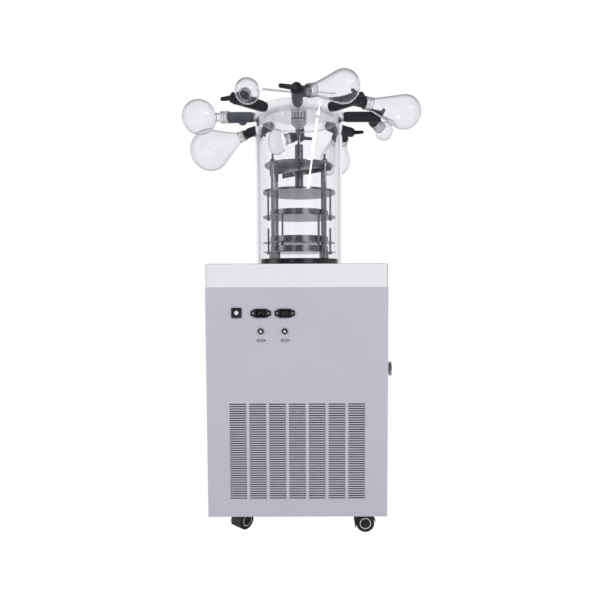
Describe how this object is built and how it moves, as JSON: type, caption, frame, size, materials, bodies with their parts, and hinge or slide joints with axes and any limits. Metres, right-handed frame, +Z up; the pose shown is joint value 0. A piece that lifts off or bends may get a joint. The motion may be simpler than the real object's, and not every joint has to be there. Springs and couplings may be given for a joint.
{
  "type": "freeze dryer",
  "caption": "Floor-standing laboratory freeze dryer: cabinet on casters, clear drying chamber with a stoppering rack, and rubber port valves that carry glass flasks.",
  "frame": {"origin": "centre of the footprint at floor level, under the chamber axis", "axes": "+Z up, +Y towards the operator side, +X to the right of a viewer who faces the service side"},
  "size_m": [0.6922, 0.6446, 1.219],
  "materials": {
    "cabinet_paint": "satin",
    "hood_paint": "satin",
    "zinc_plate": "satin",
    "polished_steel": "polished",
    "dark_steel": "satin",
    "fin_aluminium": "matte",
    "black_plastic": "matte",
    "caster_rubber": "matte",
    "valve_rubber": "matte",
    "screen_glass": "gloss",
    "clear_acrylic": "clear",
    "clear_glass": "clear"
  },
  "bodies": {
    "cabinet": {"base_plate": "zinc_plate", "rear_panel": "cabinet_paint", "side_panel_left": "cabinet_paint", "side_panel_right": "cabinet_paint", "front_panel": "cabinet_paint", "top_hood": "hood_paint", "touch_screen": "screen_glass", "signal_socket": "black_plastic", "power_inlet": "black_plastic", "pump_outlet": "black_plastic", "fuse_holder_left": "black_plastic", "fuse_holder_right": "black_plastic", "vacuum_port": "polished_steel", "cold_trap": "polished_steel", "condenser": "fin_aluminium", "compressor": "dark_steel", "chamber": "clear_acrylic", "gland": "polished_steel", "foot_plate": "dark_steel", "rack_frame": "polished_steel", "shelf_lower": "polished_steel", "valve_body_1": "valve_rubber", "flask_1": "clear_glass", "valve_body_2": "valve_rubber", "flask_2": "clear_glass", "valve_body_3": "valve_rubber", "flask_3": "clear_glass", "valve_body_4": "valve_rubber", "flask_4": "clear_glass", "valve_body_5": "valve_rubber", "flask_5": "clear_glass", "valve_body_6": "valve_rubber", "flask_6": "clear_glass", "valve_body_7": "valve_rubber", "flask_7": "clear_glass", "valve_body_8": "valve_rubber", "flask_8": "clear_glass"},
    "swivel_rear_left": {"caster_fork_rear_left": "black_plastic"},
    "wheels_rear_left": {"caster_wheels_rear_left": "caster_rubber"},
    "swivel_rear_right": {"caster_fork_rear_right": "black_plastic"},
    "wheels_rear_right": {"caster_wheels_rear_right": "caster_rubber"},
    "swivel_front_left": {"caster_fork_front_left": "black_plastic"},
    "wheels_front_left": {"caster_wheels_front_left": "caster_rubber"},
    "swivel_front_right": {"caster_fork_front_right": "black_plastic"},
    "wheels_front_right": {"caster_wheels_front_right": "caster_rubber"},
    "rocker": {"power_switch": "black_plastic"},
    "fan": {"fan_blade": "black_plastic"},
    "handle": {"press_handle": "polished_steel"},
    "press": {"press_plate": "polished_steel"},
    "screw": {"press_screw": "polished_steel"},
    "shelf_upper": {"shelf_upper": "polished_steel"},
    "shelf_middle": {"shelf_middle": "polished_steel"},
    "tap_1": {"valve_tap_1": "black_plastic"},
    "tap_2": {"valve_tap_2": "black_plastic"},
    "tap_3": {"valve_tap_3": "black_plastic"},
    "tap_4": {"valve_tap_4": "black_plastic"},
    "tap_5": {"valve_tap_5": "black_plastic"},
    "tap_6": {"valve_tap_6": "black_plastic"},
    "tap_7": {"valve_tap_7": "black_plastic"},
    "tap_8": {"valve_tap_8": "black_plastic"}
  },
  "joints": [
    {"name": "swivel_rear_left", "type": "hinge", "parent": "cabinet", "child": "swivel_rear_left", "pos_m": [-0.157, -0.248, 0.055], "axis": [0, 0, 1], "continuous": true},
    {"name": "roll_rear_left", "type": "hinge", "parent": "swivel_rear_left", "child": "wheels_rear_left", "pos_m": [-0.14607, -0.23498, 0.0235], "axis": [-0.766, 0.6428, 0], "continuous": true},
    {"name": "swivel_rear_right", "type": "hinge", "parent": "cabinet", "child": "swivel_rear_right", "pos_m": [0.157, -0.248, 0.055], "axis": [0, 0, 1], "continuous": true},
    {"name": "roll_rear_right", "type": "hinge", "parent": "swivel_rear_right", "child": "wheels_rear_right", "pos_m": [0.174, -0.248, 0.0235], "axis": [0, 1, 0], "continuous": true},
    {"name": "swivel_front_left", "type": "hinge", "parent": "cabinet", "child": "swivel_front_left", "pos_m": [-0.157, 0.248, 0.055], "axis": [0, 0, 1], "continuous": true},
    {"name": "roll_front_left", "type": "hinge", "parent": "swivel_front_left", "child": "wheels_front_left", "pos_m": [-0.17241, 0.25518, 0.0235], "axis": [-0.4226, -0.9063, 0], "continuous": true},
    {"name": "swivel_front_right", "type": "hinge", "parent": "cabinet", "child": "swivel_front_right", "pos_m": [0.157, 0.248, 0.055], "axis": [0, 0, 1], "continuous": true},
    {"name": "roll_front_right", "type": "hinge", "parent": "swivel_front_right", "child": "wheels_front_right", "pos_m": [0.17241, 0.25518, 0.0235], "axis": [-0.4226, 0.9063, 0], "continuous": true},
    {"name": "power_rocker", "type": "hinge", "parent": "cabinet", "child": "rocker", "pos_m": [0.15, 0.301, 0.545], "axis": [-1, 0, 0], "range_deg": [0, 14]},
    {"name": "fan_spin", "type": "hinge", "parent": "cabinet", "child": "fan", "pos_m": [0, -0.197, 0.2063], "axis": [0, 1, 0], "continuous": true},
    {"name": "handle_turn", "type": "hinge", "parent": "cabinet", "child": "handle", "pos_m": [0, 0, 1.2], "axis": [0, 0, -1], "range_deg": [0, 2160]},
    {"name": "press_slide", "type": "slide", "parent": "cabinet", "child": "press", "axis": [0, 0, -1], "range_m": [0, 0.018]},
    {"name": "screw_turn", "type": "hinge", "parent": "press", "child": "screw", "pos_m": [0, 0, 0.93], "axis": [0, 0, -1], "range_deg": [0, 2160]},
    {"name": "shelf_upper_slide", "type": "slide", "parent": "cabinet", "child": "shelf_upper", "axis": [0, 0, -1], "range_m": [0, 0.012]},
    {"name": "shelf_middle_slide", "type": "slide", "parent": "cabinet", "child": "shelf_middle", "axis": [0, 0, -1], "range_m": [0, 0.006]},
    {"name": "tap_1_turn", "type": "hinge", "parent": "cabinet", "child": "tap_1", "pos_m": [-0.172, 0.033, 1.136], "axis": [0, 1, 0], "range_deg": [0, 90]},
    {"name": "tap_2_turn", "type": "hinge", "parent": "cabinet", "child": "tap_2", "pos_m": [-0.16829, 0.16829, 1.136], "axis": [-0.7071, 0.7071, 0], "range_deg": [0, 90]},
    {"name": "tap_3_turn", "type": "hinge", "parent": "cabinet", "child": "tap_3", "pos_m": [-0.16829, -0.16829, 1.136], "axis": [-0.7071, -0.7071, 0], "range_deg": [0, 90]},
    {"name": "tap_4_turn", "type": "hinge", "parent": "cabinet", "child": "tap_4", "pos_m": [0, -0.238, 1.136], "axis": [0, -1, 0], "range_deg": [0, 90]},
    {"name": "tap_5_turn", "type": "hinge", "parent": "cabinet", "child": "tap_5", "pos_m": [0.16829, -0.16829, 1.136], "axis": [0.7071, -0.7071, 0], "range_deg": [0, 90]},
    {"name": "tap_6_turn", "type": "hinge", "parent": "cabinet", "child": "tap_6", "pos_m": [0.238, 0, 1.136], "axis": [1, 0, 0], "range_deg": [0, 90]},
    {"name": "tap_7_turn", "type": "hinge", "parent": "cabinet", "child": "tap_7", "pos_m": [0.16829, 0.16829, 1.136], "axis": [0.7071, 0.7071, 0], "range_deg": [0, 90]},
    {"name": "tap_8_turn", "type": "hinge", "parent": "cabinet", "child": "tap_8", "pos_m": [0, 0.238, 1.136], "axis": [0, 1, 0], "range_deg": [0, 90]}
  ],
  "couplings": [
    {"joint": "press_slide", "follows": "handle_turn", "m_per_rad": 0.00047746},
    {"joint": "screw_turn", "follows": "handle_turn", "ratio": 1},
    {"joint": "shelf_upper_slide", "follows": "handle_turn", "m_per_rad": 0.00031831},
    {"joint": "shelf_middle_slide", "follows": "handle_turn", "m_per_rad": 0.00015915}
  ]
}
